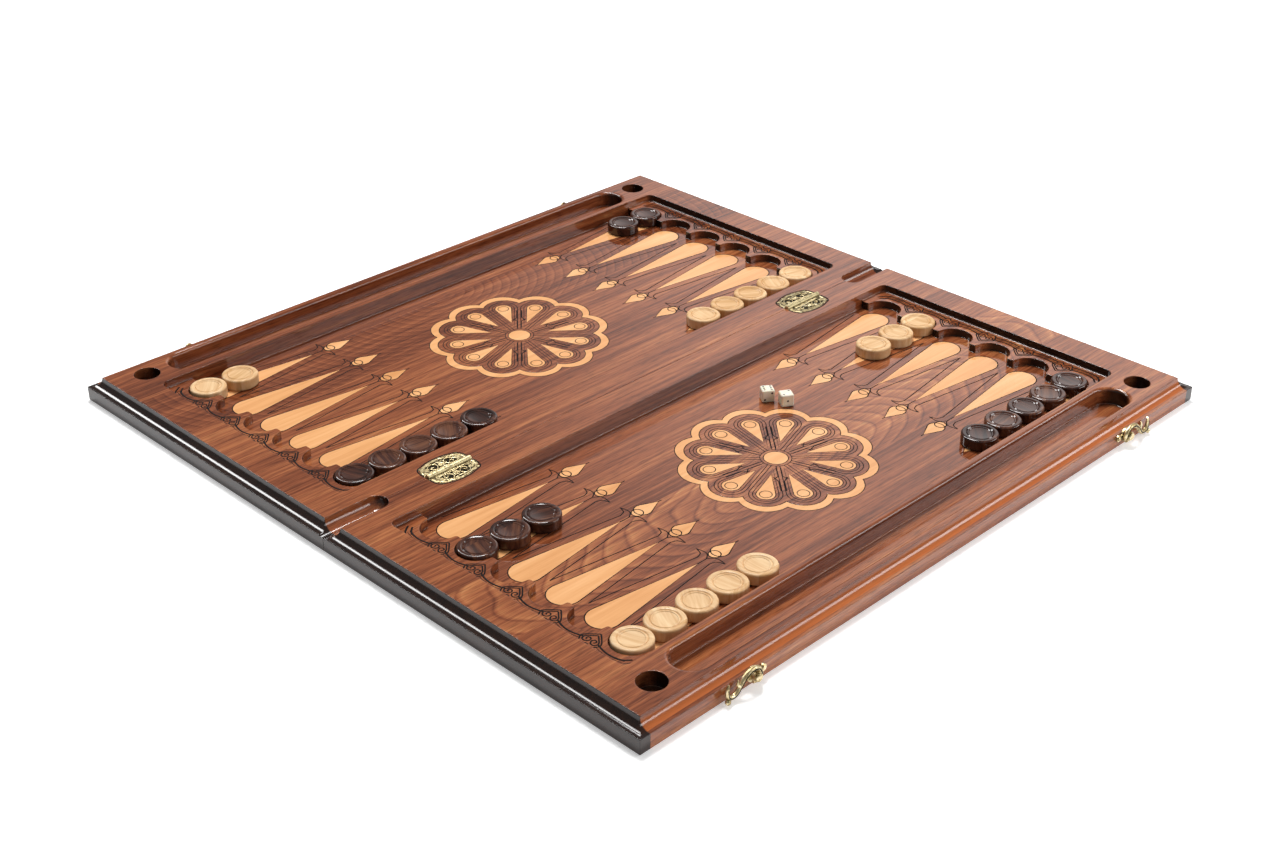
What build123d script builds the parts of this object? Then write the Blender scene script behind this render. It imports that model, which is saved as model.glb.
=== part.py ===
"""Folding backgammon board in carved hardwood, with brass hinges and hooks, thirty checkers and two dice.

Millimetres. X runs along the fold, Y across it and Z up. The origin is on the table, under the middle of
the fold. The board lies open: the front leaf is at negative Y, the back leaf at positive Y. The back leaf
folds about the hinge pins until the two playing faces meet, and two hooks then hold it shut.
"""

import os
from math import cos, radians, sin

from build123d import *

os.makedirs("parts", exist_ok=True)

# Overall sizes
board_length = 600.0
leaf_depth = 300.0
leaf_height = 19.0
seam_gap = 0.3
fold_lift = 0.2

# Moulding round the edge of each leaf
cove_radius = 7.7
cove_ledge = 1.0
side_height = leaf_height - cove_radius
foot_chamfer = 0.4
stopped_cove_length = 54.0
stopped_cove_radius = 8.8

# Playing field of each leaf
field_length = 529.6
field_near = 26.0
field_far = 252.0
field_corner = 7.0
floor_height = 6.0
shelf_height = 12.6
row_pitch = 36.4
row_count = 6
pocket_radius = 14.8
pocket_offset = 237.2
nose_offset = 236.5
nose_round = 1.6
wall_foot = 1.5
field_middle = (field_near + field_far) / 2
field_width = field_far - field_near

# Tray and dice wells beside the field
tray_length = 484.0
tray_width = 27.0
tray_middle = 272.0
tray_lip = 2.8
tray_cove = 1.0
well_radius = 10.0
well_offset = 263.0
well_middle = 273.0
well_depth = 11.0

# Light wood let into the floor of the field
inlay_thickness = 0.8
point_round = 12.0
point_round_offset = 226.0
point_tip_offset = 140.0
bud_round = 6.3
bud_round_offset = 118.0
bud_tip_offset = 103.0
bud_seed = 4.5
bud_seed_offset = 123.4
rosette_turn = 3.5
rosette_petals = 12
rosette_outer_ring = 54.0
rosette_outer_lobe = 20.1
rosette_inner_ring = 50.5
rosette_inner_lobe = 16.9
rosette_petal_ring = 51.3
rosette_petal_round = 6.8
rosette_petal_tip = 24.0
rosette_eye = 8.8

# Hinges
hinge_offset = 190.0
hinge_half_length = 19.6
hinge_reach = 16.6
hinge_waist = 7.47
hinge_tip_x = 16.2
hinge_tip_y = 12.6
hinge_tip_round = 1.4
hinge_plate = 1.6
hinge_side_bulge = 0.2
hinge_sink = 0.6
hinge_sink_middle = 8.47
hinge_sink_length = 30.8
hinge_sink_width = 9.96
hinge_boss_radius = 2.82
screw_boss = 0.9
barrel_radius = 2.2
barrel_clearance = 0.4
pin_radius = 0.9
pin_running_fit = 0.05
knuckle_count = 5
knuckle_gap = 0.2
plate_clearance = 0.2
hinge_screw_x = 13.5
hinge_screw_y = 8.4
screw_head_radius = 1.5
screw_head_depth = 0.8
screw_shank_radius = 0.7
screw_length = 7.0
screw_slot_width = 0.4
screw_slot_depth = 0.3
latch_screw_head = 0.7
axis_height = leaf_height + fold_lift

# Hooks and catch pins
latch_offset = 205.0
pivot_height = 8.3
catch_height = 9.0
hook_reach = 2 * axis_height - pivot_height - catch_height
latch_base = 1.6
latch_ear_offset = 9.4
latch_ear_radius = 2.6
latch_bridge = 3.6
hook_thickness = 4.0
hook_scroll = 5.4
hook_neck = 4.2
hook_eye = 2.3
hook_horn = 3.7
hook_mouth = 6.6
hook_mouth_sweep = 28.0
knob_radius = 2.3
knob_offset = 4.6
knob_drop = 5.4
knob_stand = 5.6
pivot_radius = 1.5
pivot_running_fit = 0.05
pivot_head_radius = 3.0
pivot_head = 1.4
pivot_head_round = 0.8
pivot_head_play = 0.1
pivot_bury = 6.0
catch_neck_radius = 1.6
catch_flange_radius = 3.0
catch_flange = 1.0
catch_head_radius = 3.2
catch_head = 1.5
catch_head_round = 0.9
catch_play = 0.2

# Checkers and dice
checker_radius = 14.0
checker_height = 9.0
checker_spacing = 0.8
checker_play = 1.2
corner_radius = 12.4
corner_drop = 1.6
groove_depth = 0.9
groove_middle = 9.8
ring_drop = 0.3
dish_radius = 8.0
dish_floor = 1.1
dish_sag = 0.35
die_side = 10.0
die_round = 1.2
pip_radius = 0.85
pip_depth = 0.35
pip_spread = 2.7
checker_pitch = 2 * checker_radius + checker_spacing
checker_first = pocket_offset + pocket_radius - checker_radius - checker_play

row_places = [field_middle + (k - (row_count - 1) / 2) * row_pitch for k in range(row_count)]


# The leaf blank: one plank of hardwood, carved from above, drawn as the front leaf
with BuildPart() as leaf_blank:
    with BuildSketch(Plane.XY):
        with Locations((0, -(leaf_depth + seam_gap / 2) / 2)):
            Rectangle(board_length, leaf_depth - seam_gap / 2)
    extrude(amount=leaf_height)
    chamfer(leaf_blank.faces().sort_by(Axis.Z)[0].edges(), foot_chamfer)
    # cove and ledge along the long outer side
    with BuildSketch(Plane.YZ.offset(-board_length / 2)):
        with Locations((-leaf_depth + cove_ledge, leaf_height)):
            Circle(cove_radius)
        with Locations((-leaf_depth, leaf_height)):
            Rectangle(2 * cove_ledge, 2 * cove_radius)
    extrude(amount=board_length, mode=Mode.SUBTRACT)
    # cove and ledge along each short side
    for end in (-1, 1):
        with BuildSketch(Plane.XZ):
            with Locations((end * (board_length / 2 - cove_ledge), leaf_height)):
                Circle(cove_radius)
            with Locations((end * board_length / 2, leaf_height)):
                Rectangle(2 * cove_ledge, 2 * cove_radius)
        extrude(amount=leaf_depth, mode=Mode.SUBTRACT)
        # stopped cove along the fold, ending in a ball
        stop = board_length / 2 - stopped_cove_length + stopped_cove_radius
        with Locations((end * (board_length / 2 + stop) / 2, 0, leaf_height)):
            Cylinder(
                stopped_cove_radius,
                board_length / 2 - stop,
                rotation=(0, 90, 0),
                mode=Mode.SUBTRACT,
            )
        with Locations((end * stop, 0, leaf_height)):
            Sphere(stopped_cove_radius, mode=Mode.SUBTRACT)
    # field, cut down to the engraved shelves
    with BuildSketch(Plane.XY.offset(shelf_height)):
        with Locations((0, -field_middle)):
            RectangleRounded(field_length, field_width, field_corner)
    extrude(amount=leaf_height - shelf_height, mode=Mode.SUBTRACT)
    # floor of the field, with six scalloped pockets at each end
    with BuildSketch(Plane.XY.offset(floor_height)) as floor_outline:
        with Locations((0, -field_middle)):
            Rectangle(2 * nose_offset, field_width)
        with Locations([(end * pocket_offset, -row) for end in (-1, 1) for row in row_places]):
            Circle(pocket_radius)
        fillet(
            [v for v in floor_outline.vertices() if field_near + 1 < -v.Y < field_far - 1],
            nose_round,
        )
    extrude(amount=shelf_height - floor_height, mode=Mode.SUBTRACT)
    # small round foot where the long walls meet the floor and the end walls meet the shelves
    fillet(
        leaf_blank.edges().filter_by(
            lambda e: abs(e.center().Z - floor_height) < 0.1
            and e.bounding_box().size.Y < 0.01
            and e.length > nose_offset
            and min(abs(e.center().Y + field_near), abs(e.center().Y + field_far)) < 0.1
        ),
        wall_foot,
    )
    fillet(
        leaf_blank.edges().filter_by(
            lambda e: abs(e.center().Z - shelf_height) < 0.1
            and e.bounding_box().size.X < 0.01
            and e.length > field_width / 2
            and abs(e.center().X) > field_length / 2 - 0.1
        ),
        wall_foot,
    )
    # long tray for checkers borne off, with a coved floor and an eased lip
    with BuildSketch(Plane.XY.offset(floor_height)):
        with Locations((0, -tray_middle)):
            SlotOverall(tray_length, tray_width)
    extrude(amount=leaf_height - floor_height, mode=Mode.SUBTRACT)
    tray_box = leaf_blank.edges().filter_by(
        lambda e: e.bounding_box().min.Y > -(tray_middle + tray_width / 2 + 0.1)
        and e.bounding_box().max.Y < -(tray_middle - tray_width / 2 - 0.1)
        and e.bounding_box().size.Z < 0.01
        and e.length > tray_width
    )
    fillet(tray_box.filter_by(lambda e: e.center().Z < floor_height + 0.1), tray_cove)
    fillet(
        leaf_blank.edges().filter_by(
            lambda e: e.bounding_box().min.Y > -(tray_middle + tray_width / 2 + 0.1)
            and e.bounding_box().max.Y < -(tray_middle - tray_width / 2 - 0.1)
            and e.bounding_box().min.Z > leaf_height - 0.01
            and e.length > tray_width
        ),
        tray_lip,
    )
    # two round wells for the dice
    with Locations([(end * well_offset, -well_middle, leaf_height - well_depth / 2) for end in (-1, 1)]):
        Cylinder(well_radius, well_depth, mode=Mode.SUBTRACT)


# Outline of the light inlays of the twelve points of one leaf, drawn for the front leaf
with BuildSketch(Plane.XY.offset(floor_height - inlay_thickness)) as point_outline:
    for end in (-1, 1):
        for row in row_places:
            lean = point_round**2 / (point_round_offset - point_tip_offset)
            half = (point_round**2 - lean**2) ** 0.5
            with Locations((end * point_round_offset, -row)):
                Circle(point_round)
            with BuildLine():
                Polyline(
                    (end * (point_round_offset - lean), -row + half),
                    (end * point_tip_offset, -row),
                    (end * (point_round_offset - lean), -row - half),
                    close=True,
                )
            make_face()
            # the small bud beyond the tip of the point
            bud_lean = bud_round**2 / (bud_round_offset - bud_tip_offset)
            bud_half = (bud_round**2 - bud_lean**2) ** 0.5
            with Locations((end * bud_round_offset, -row)):
                Circle(bud_round)
            with Locations((end * bud_seed_offset, -row)):
                Circle(bud_seed)
            with BuildLine():
                Polyline(
                    (end * (bud_round_offset - bud_lean), -row + bud_half),
                    (end * bud_tip_offset, -row),
                    (end * (bud_round_offset - bud_lean), -row - bud_half),
                    close=True,
                )
            make_face()

# Outline of the light inlays of one rosette, drawn about its own middle
with BuildSketch(Plane.XY) as rosette_outline:
    Circle(rosette_outer_ring)
    with PolarLocations(rosette_outer_ring, rosette_petals, start_angle=rosette_turn):
        Circle(rosette_outer_lobe)
    with PolarLocations(rosette_inner_ring, rosette_petals, start_angle=rosette_turn):
        Circle(rosette_inner_lobe, mode=Mode.SUBTRACT)
    Circle(rosette_inner_ring, mode=Mode.SUBTRACT)
    Circle(rosette_eye)
    petal_lean = rosette_petal_round**2 / (rosette_petal_ring - rosette_petal_tip)
    petal_half = (rosette_petal_round**2 - petal_lean**2) ** 0.5
    with PolarLocations(rosette_petal_ring, rosette_petals, start_angle=rosette_turn):
        Circle(rosette_petal_round)
        Polygon(
            (-petal_lean, petal_half),
            (rosette_petal_tip - rosette_petal_ring, 0),
            (-petal_lean, -petal_half),
            align=None,
        )

# Outline of one half of a hinge, drawn for the front leaf about the middle of the pin
with BuildSketch(Plane.XY) as hinge_outline:
    with BuildLine():
        Line((-hinge_half_length, 0), (hinge_half_length, 0))
        ThreePointArc(
            (hinge_half_length, 0),
            (hinge_half_length - hinge_side_bulge, -hinge_waist),
            (hinge_tip_x - hinge_side_bulge, -hinge_tip_y),
        )
        ThreePointArc(
            (hinge_tip_x - hinge_side_bulge, -hinge_tip_y),
            (0, -hinge_reach),
            (-hinge_tip_x + hinge_side_bulge, -hinge_tip_y),
        )
        ThreePointArc(
            (-hinge_tip_x + hinge_side_bulge, -hinge_tip_y),
            (-hinge_half_length + hinge_side_bulge, -hinge_waist),
            (-hinge_half_length, 0),
        )
    make_face()
    with Locations([(side * hinge_tip_x, -hinge_tip_y) for side in (-1, 1)]):
        Circle(hinge_tip_round)

knuckle_length = 2 * hinge_half_length / knuckle_count
pocket_growth = 1 + plate_clearance / hinge_half_length
with BuildSketch(Plane.XY) as hinge_pocket_outline:
    add(scale(hinge_outline.sketch, by=pocket_growth, mode=Mode.PRIVATE))
    with Locations([(side * hinge_tip_x, -hinge_tip_y) for side in (-1, 1)]):
        Circle(hinge_tip_round + 1.5 * plate_clearance)
hinge_pocket = hinge_pocket_outline.sketch

# The same outlines turned over the fold, for the back leaf
point_outline_back = mirror(point_outline.sketch, about=Plane.XZ)
hinge_outline_back = mirror(hinge_outline.sketch, about=Plane.XZ)
hinge_pocket_back = mirror(hinge_pocket, about=Plane.XZ)

# Front leaf, with pockets for the hinge halves, the barrels, the hook pivots and the screws
with BuildPart() as leaf_front:
    add(leaf_blank.part)
    with BuildSketch(Plane.XY.offset(floor_height - inlay_thickness)):
        add(point_outline.sketch)
        with Locations((0, -field_middle)):
            add(rosette_outline.sketch)
    extrude(amount=inlay_thickness, mode=Mode.SUBTRACT)
    for side in (-1, 1):
        with BuildSketch(Plane.XY.offset(leaf_height - hinge_plate)):
            with Locations((side * hinge_offset, 0)):
                add(hinge_pocket)
        extrude(amount=hinge_plate, mode=Mode.SUBTRACT)
        with Locations((side * hinge_offset, 0, axis_height)):
            Cylinder(
                barrel_radius + barrel_clearance,
                2 * hinge_half_length + 2 * plate_clearance,
                rotation=(0, 90, 0),
                mode=Mode.SUBTRACT,
            )
        with Locations(
            [
                (
                    side * hinge_offset + turn * hinge_screw_x,
                    -hinge_screw_y,
                    leaf_height - screw_head_depth - screw_length / 2,
                )
                for turn in (-1, 1)
            ]
        ):
            Cylinder(screw_shank_radius, screw_length, mode=Mode.SUBTRACT)
        with Locations((side * latch_offset, -leaf_depth + pivot_bury / 2, pivot_height)):
            Cylinder(pivot_radius, pivot_bury, rotation=(90, 0, 0), mode=Mode.SUBTRACT)
        ear_x = side * (latch_offset - latch_ear_offset)
        with Locations((ear_x, -leaf_depth + pivot_bury / 2, pivot_height)):
            Cylinder(screw_shank_radius, pivot_bury, rotation=(90, 0, 0), mode=Mode.SUBTRACT)
leaf_front.part.label = "leaf_front"
export_step(leaf_front.part, "parts/leaf_front.step")

# Back leaf, the mirror of the front one, with bores for the catch pins
with BuildPart() as leaf_back:
    add(mirror(leaf_blank.part, about=Plane.XZ, mode=Mode.PRIVATE))
    with BuildSketch(Plane.XY.offset(floor_height - inlay_thickness)):
        add(point_outline_back)
        with Locations((0, field_middle)):
            add(rosette_outline.sketch)
    extrude(amount=inlay_thickness, mode=Mode.SUBTRACT)
    for side in (-1, 1):
        with BuildSketch(Plane.XY.offset(leaf_height - hinge_plate)):
            with Locations((side * hinge_offset, 0)):
                add(hinge_pocket_back)
        extrude(amount=hinge_plate, mode=Mode.SUBTRACT)
        with Locations((side * hinge_offset, 0, axis_height)):
            Cylinder(
                barrel_radius + barrel_clearance,
                2 * hinge_half_length + 2 * plate_clearance,
                rotation=(0, 90, 0),
                mode=Mode.SUBTRACT,
            )
        with Locations(
            [
                (
                    side * hinge_offset + turn * hinge_screw_x,
                    hinge_screw_y,
                    leaf_height - screw_head_depth - screw_length / 2,
                )
                for turn in (-1, 1)
            ]
        ):
            Cylinder(screw_shank_radius, screw_length, mode=Mode.SUBTRACT)
        with Locations((side * latch_offset, leaf_depth - pivot_bury / 2, catch_height)):
            Cylinder(catch_neck_radius, pivot_bury, rotation=(90, 0, 0), mode=Mode.SUBTRACT)
leaf_back.part.label = "leaf_back"
export_step(leaf_back.part, "parts/leaf_back.step")

# Light wood points and buds of each leaf, flush with the floor of the field
with BuildPart() as points_front:
    with BuildSketch(Plane.XY.offset(floor_height - inlay_thickness)):
        add(point_outline.sketch)
    extrude(amount=inlay_thickness)
points_front.part.label = "points_front"
export_step(points_front.part, "parts/points_front.step")

with BuildPart() as points_back:
    with BuildSketch(Plane.XY.offset(floor_height - inlay_thickness)):
        add(point_outline_back)
    extrude(amount=inlay_thickness)
points_back.part.label = "points_back"
export_step(points_back.part, "parts/points_back.step")

# Light wood rosette of each leaf
with BuildPart() as rosette_front:
    with BuildSketch(Plane.XY.offset(floor_height - inlay_thickness)):
        with Locations((0, -field_middle)):
            add(rosette_outline.sketch)
    extrude(amount=inlay_thickness)
rosette_front.part.label = "rosette_front"
export_step(rosette_front.part, "parts/rosette_front.step")

with BuildPart() as rosette_back:
    with BuildSketch(Plane.XY.offset(floor_height - inlay_thickness)):
        with Locations((0, field_middle)):
            add(rosette_outline.sketch)
    extrude(amount=inlay_thickness)
rosette_back.part.label = "rosette_back"
export_step(rosette_back.part, "parts/rosette_back.step")

# Cast brass hinges: a half for each leaf with its own knuckles, and a pin through both
for side, side_name in ((-1, "left"), (1, "right")):
    for leaf, leaf_name in ((-1, "front"), (1, "back")):
        own = [k for k in range(knuckle_count) if (k % 2 == 0) == (leaf == -1)]
        other = [k for k in range(knuckle_count) if k not in own]
        first_knuckle = side * hinge_offset - hinge_half_length + knuckle_length / 2
        knuckle_places = [first_knuckle + k * knuckle_length for k in range(knuckle_count)]
        with BuildPart() as hinge_half:
            with BuildSketch(Plane.XY.offset(leaf_height - hinge_plate)):
                with Locations((side * hinge_offset, 0)):
                    if leaf == -1:
                        add(hinge_outline.sketch)
                    else:
                        add(hinge_outline_back)
            extrude(amount=hinge_plate)
            # sunken field inside the raised rim, with bosses left round the screws
            with BuildSketch(Plane.XY.offset(leaf_height - hinge_sink)):
                with Locations((side * hinge_offset, leaf * hinge_sink_middle)):
                    Ellipse(hinge_sink_length / 2, hinge_sink_width / 2)
                with Locations(
                    [(side * hinge_offset + turn * hinge_screw_x, leaf * hinge_screw_y) for turn in (-1, 1)]
                ):
                    Circle(screw_head_radius + screw_boss, mode=Mode.SUBTRACT)
                with Locations((side * hinge_offset, leaf * hinge_sink_middle)):
                    Circle(hinge_boss_radius, mode=Mode.SUBTRACT)
            extrude(amount=hinge_sink, mode=Mode.SUBTRACT)
            # clear the knuckles of the other half
            with Locations([(knuckle_places[k], 0, axis_height) for k in other]):
                Cylinder(
                    barrel_radius + barrel_clearance,
                    knuckle_length + knuckle_gap,
                    rotation=(0, 90, 0),
                    mode=Mode.SUBTRACT,
                )
            with Locations([(knuckle_places[k], 0, axis_height) for k in own]):
                Cylinder(barrel_radius, knuckle_length - knuckle_gap, rotation=(0, 90, 0))
            bore = pin_radius if leaf == -1 else pin_radius + pin_running_fit
            with Locations((side * hinge_offset, 0, axis_height)):
                Cylinder(bore, 3 * hinge_half_length, rotation=(0, 90, 0), mode=Mode.SUBTRACT)
            with Locations(
                [
                    (side * hinge_offset + turn * hinge_screw_x, leaf * hinge_screw_y, leaf_height)
                    for turn in (-1, 1)
                ]
            ):
                Cylinder(screw_head_radius, 2 * screw_head_depth, mode=Mode.SUBTRACT)
                Cylinder(screw_shank_radius, 4 * hinge_plate, mode=Mode.SUBTRACT)
        hinge_half.part.label = f"hinge_{side_name}_{leaf_name}_half"
        export_step(hinge_half.part, f"parts/hinge_{side_name}_{leaf_name}_half.step")
    with BuildPart() as hinge_pin:
        with Locations((side * hinge_offset, 0, axis_height)):
            Cylinder(pin_radius, 2 * hinge_half_length - knuckle_gap, rotation=(0, 90, 0))
    hinge_pin.part.label = f"hinge_{side_name}_pin"
    export_step(hinge_pin.part, f"parts/hinge_{side_name}_pin.step")

# Brass wood screws of the hinges, four to each leaf
for leaf, leaf_name in ((-1, "front"), (1, "back")):
    with BuildPart() as hinge_screws:
        for side in (-1, 1):
            for turn in (-1, 1):
                screw_x = side * hinge_offset + turn * hinge_screw_x
                with Locations((screw_x, leaf * hinge_screw_y, leaf_height - screw_head_depth / 2)):
                    Cylinder(screw_head_radius, screw_head_depth)
                shank_middle = leaf_height - screw_head_depth - screw_length / 2
                with Locations((screw_x, leaf * hinge_screw_y, shank_middle)):
                    Cylinder(screw_shank_radius, screw_length)
                slot_turn = 40 * turn + 15 * side
                with Locations((screw_x, leaf * hinge_screw_y, leaf_height)):
                    Box(
                        2 * screw_head_radius,
                        screw_slot_width,
                        2 * screw_slot_depth,
                        rotation=(0, 0, slot_turn),
                        mode=Mode.SUBTRACT,
                    )
    hinge_screws.part.label = f"hinge_screws_{leaf_name}"
    export_step(hinge_screws.part, f"parts/hinge_screws_{leaf_name}.step")

# Brass hooks on the front leaf: a base plate, a swan-neck hook with a finger knob, and its pivot
for side, side_name in ((-1, "left"), (1, "right")):
    pivot_point = (side * latch_offset, -leaf_depth, pivot_height)
    face = Plane(pivot_point, x_dir=(side, 0, 0), z_dir=(0, -side, 0))
    with BuildPart() as latch_plate:
        with BuildSketch(face):
            Circle(hook_scroll)
            with Locations((-latch_ear_offset, 0)):
                Circle(latch_ear_radius)
            with Locations((-latch_ear_offset / 2, 0)):
                Rectangle(latch_ear_offset, latch_bridge)
            Circle(pivot_radius, mode=Mode.SUBTRACT)
            with Locations((-latch_ear_offset, 0)):
                Circle(screw_shank_radius, mode=Mode.SUBTRACT)
        extrude(amount=side * latch_base)
    latch_plate.part.label = f"latch_{side_name}_plate"
    export_step(latch_plate.part, f"parts/latch_{side_name}_plate.step")
    with BuildPart() as latch_hook:
        with BuildSketch(face.offset(side * latch_base)):
            with BuildLine():
                Spline(
                    (0, 0),
                    (hook_reach * 0.16, 6.0),
                    (hook_reach * 0.44, 6.6),
                    (hook_reach * 0.68, 2.4),
                    (hook_reach * 0.80, -2.6),
                    tangents=((0.2, 1), (0.5, -1)),
                )
            trace(line_width=hook_neck)
            Circle(hook_scroll)
            with Locations((hook_reach, 0)):
                Circle(hook_eye + hook_horn)
            with Locations((hook_reach, hook_mouth / 2)):
                Rectangle(2 * (hook_eye + hook_horn) - 1.0, hook_mouth)
            # the mouth follows the swing of the hook
            mouth_end = radians(hook_mouth_sweep)
            inner = hook_reach - hook_eye
            outer = hook_reach + hook_eye
            with BuildLine():
                CenterArc((0, 0), inner, 0, hook_mouth_sweep)
                CenterArc((0, 0), outer, 0, hook_mouth_sweep)
                Line((inner, 0), (outer, 0))
                Line(
                    (inner * cos(mouth_end), inner * sin(mouth_end)),
                    (outer * cos(mouth_end), outer * sin(mouth_end)),
                )
            make_face(mode=Mode.SUBTRACT)
            with Locations((hook_reach, 0)):
                Circle(hook_eye, mode=Mode.SUBTRACT)
            Circle(pivot_radius + pivot_running_fit, mode=Mode.SUBTRACT)
        extrude(amount=side * hook_thickness)
        with Locations(
            (
                side * (latch_offset + hook_reach + knob_offset),
                -leaf_depth - knob_stand,
                pivot_height - knob_drop,
            )
        ):
            Sphere(knob_radius)
    latch_hook.part.label = f"latch_{side_name}_hook"
    export_step(latch_hook.part, f"parts/latch_{side_name}_hook.step")
    pivot_length = latch_base + hook_thickness + pivot_head_play
    with BuildPart() as latch_pivot:
        with BuildSketch(face.offset(-side * pivot_bury)):
            Circle(pivot_radius)
        extrude(amount=side * (pivot_bury + pivot_length))
        with BuildSketch(face.offset(side * pivot_length)):
            Circle(pivot_head_radius)
        extrude(amount=side * pivot_head)
        fillet(latch_pivot.edges().sort_by(Axis.Y)[0], pivot_head_round)
    latch_pivot.part.label = f"latch_{side_name}_pivot"
    export_step(latch_pivot.part, f"parts/latch_{side_name}_pivot.step")
    neck_end = latch_base + hook_thickness + catch_play
    with BuildPart() as latch_catch:
        with Locations((side * latch_offset, leaf_depth - pivot_bury / 2, catch_height)):
            Cylinder(catch_neck_radius, pivot_bury, rotation=(90, 0, 0))
        with Locations((side * latch_offset, leaf_depth + catch_flange / 2, catch_height)):
            Cylinder(catch_flange_radius, catch_flange, rotation=(90, 0, 0))
        with Locations((side * latch_offset, leaf_depth + neck_end / 2, catch_height)):
            Cylinder(catch_neck_radius, neck_end, rotation=(90, 0, 0))
        with Locations((side * latch_offset, leaf_depth + neck_end + catch_head / 2, catch_height)):
            Cylinder(catch_head_radius, catch_head, rotation=(90, 0, 0))
        fillet(latch_catch.edges().sort_by(Axis.Y)[-1], catch_head_round)
    latch_catch.part.label = f"latch_{side_name}_catch"
    export_step(latch_catch.part, f"parts/latch_{side_name}_catch.step")

# One screw through the ear of each latch plate
with BuildPart() as latch_screws:
    for side in (-1, 1):
        ear_x = side * (latch_offset - latch_ear_offset)
        with Locations((ear_x, -leaf_depth + pivot_bury / 2 - latch_base / 2, pivot_height)):
            Cylinder(screw_shank_radius, pivot_bury + latch_base, rotation=(90, 0, 0))
        with Locations((ear_x, -leaf_depth - latch_base - latch_screw_head / 2, pivot_height)):
            Cylinder(screw_head_radius, latch_screw_head, rotation=(90, 0, 0))
latch_screws.part.label = "latch_screws"
export_step(latch_screws.part, "parts/latch_screws.step")

# The turned checker, alike on both faces: rounded rim, sloping band, groove, ring and dished middle
dish_sphere = (dish_radius**2 + dish_sag**2) / (2 * dish_sag)
dish_halfway = dish_floor - dish_sphere + (dish_sphere**2 - (dish_radius / 2) ** 2) ** 0.5
corner_middle = (corner_radius + (checker_radius - corner_radius) * 0.7063, corner_drop * 0.29375)
face_steps = [
    (dish_radius, dish_floor - dish_sag),
    (dish_radius + 0.5, ring_drop),
    (dish_radius + 1.2, ring_drop),
    (groove_middle, groove_depth),
    (groove_middle + 0.7, ring_drop / 2),
    (groove_middle + 1.4, 0),
    (corner_radius, 0),
]
with BuildPart() as checker_shape:
    with BuildSketch(Plane.XZ):
        with BuildLine():
            Line((0, checker_height - dish_floor), (0, dish_floor))
            for flip, base in ((1, 0), (-1, checker_height)):
                ThreePointArc(
                    (0, base + flip * dish_floor),
                    (dish_radius / 2, base + flip * dish_halfway),
                    (dish_radius, base + flip * (dish_floor - dish_sag)),
                )
                Polyline([(radius, base + flip * drop) for radius, drop in face_steps])
                ThreePointArc(
                    (corner_radius, base),
                    (corner_middle[0], base + flip * corner_middle[1]),
                    (checker_radius, base + flip * corner_drop),
                )
            Line((checker_radius, corner_drop), (checker_radius, checker_height - corner_drop))
        make_face()
    revolve(axis=Axis.Z)

# Each run of checkers: tone, leaf, end of the board, row counted from the fold, nudge across, how many
checker_runs = (
    ("light", -1, -1, 5, 0.2, 5),
    ("dark", -1, -1, 1, 0.3, 3),
    ("dark", -1, 1, 5, 0.2, 5),
    ("light", -1, 1, 1, 0.0, 3),
    ("light", 1, -1, 5, 0.2, 2),
    ("dark", 1, -1, 0, -0.3, 5),
    ("dark", 1, 1, 5, -0.3, 2),
    ("light", 1, 1, 0, -0.2, 5),
)
checker_tally = {"light": 0, "dark": 0}
for tone, leaf, side, row, nudge, amount in checker_runs:
    for place in range(amount):
        checker_tally[tone] += 1
        checker_name = f"checker_{tone}_{checker_tally[tone]:02d}"
        checker_x = side * (checker_first - place * checker_pitch)
        with BuildPart() as checker:
            with Locations((checker_x, leaf * (row_places[row] + nudge), floor_height)):
                add(checker_shape.part)
        checker.part.label = checker_name
        export_step(checker.part, f"parts/{checker_name}.step")

# Two dice; the pips of opposite faces add up to seven
pip_layout = {
    1: ((0, 0),),
    2: ((-1, -1), (1, 1)),
    3: ((-1, -1), (0, 0), (1, 1)),
    4: ((-1, -1), (-1, 1), (1, -1), (1, 1)),
    5: ((-1, -1), (-1, 1), (0, 0), (1, -1), (1, 1)),
    6: ((-1, -1), (-1, 0), (-1, 1), (1, -1), (1, 0), (1, 1)),
}
dice_places = (
    ("die_upper", (61.2, -76.0), -35.0, {"Z": 6, "-Z": 1, "-Y": 2, "Y": 5, "-X": 3, "X": 4}),
    ("die_lower", (65.9, -91.0), -31.0, {"Z": 2, "-Z": 5, "-Y": 1, "Y": 6, "-X": 4, "X": 3}),
)
for die_name, die_place, die_turn, die_faces in dice_places:
    along = Vector(1, 0, 0).rotate(Axis.Z, die_turn)
    across = Vector(0, 1, 0).rotate(Axis.Z, die_turn)
    up = Vector(0, 0, 1)
    die_centre = Vector(die_place[0], die_place[1], floor_height + die_side / 2)
    facings = {
        "X": (along, across),
        "-X": (along * -1, across),
        "Y": (across, along),
        "-Y": (across * -1, along),
        "Z": (up, along),
        "-Z": (up * -1, along),
    }
    with BuildPart(Plane(die_centre, x_dir=along, z_dir=up)) as die:
        Box(die_side, die_side, die_side)
        fillet(die.edges(), die_round)
        for facing, value in die_faces.items():
            normal, row_way = facings[facing]
            with BuildSketch(Plane(die_centre + normal * (die_side / 2), x_dir=row_way, z_dir=normal)):
                with Locations([(u * pip_spread, v * pip_spread) for u, v in pip_layout[value]]):
                    Circle(pip_radius)
            extrude(amount=-pip_depth, mode=Mode.SUBTRACT)
    die.part.label = die_name
    export_step(die.part, f"parts/{die_name}.step")
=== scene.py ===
"""Looks of a folding backgammon set.

Carved and stained beech leaves with light inlays and engraved lines, brass hinges and hooks, turned
checkers and dice. Names ending in a size are in millimetres, which MM turns to metres. X runs along the
fold, Y across it and Z up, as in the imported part.
"""

import math

import bmesh
import bpy
from mathutils import Matrix, Vector


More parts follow.
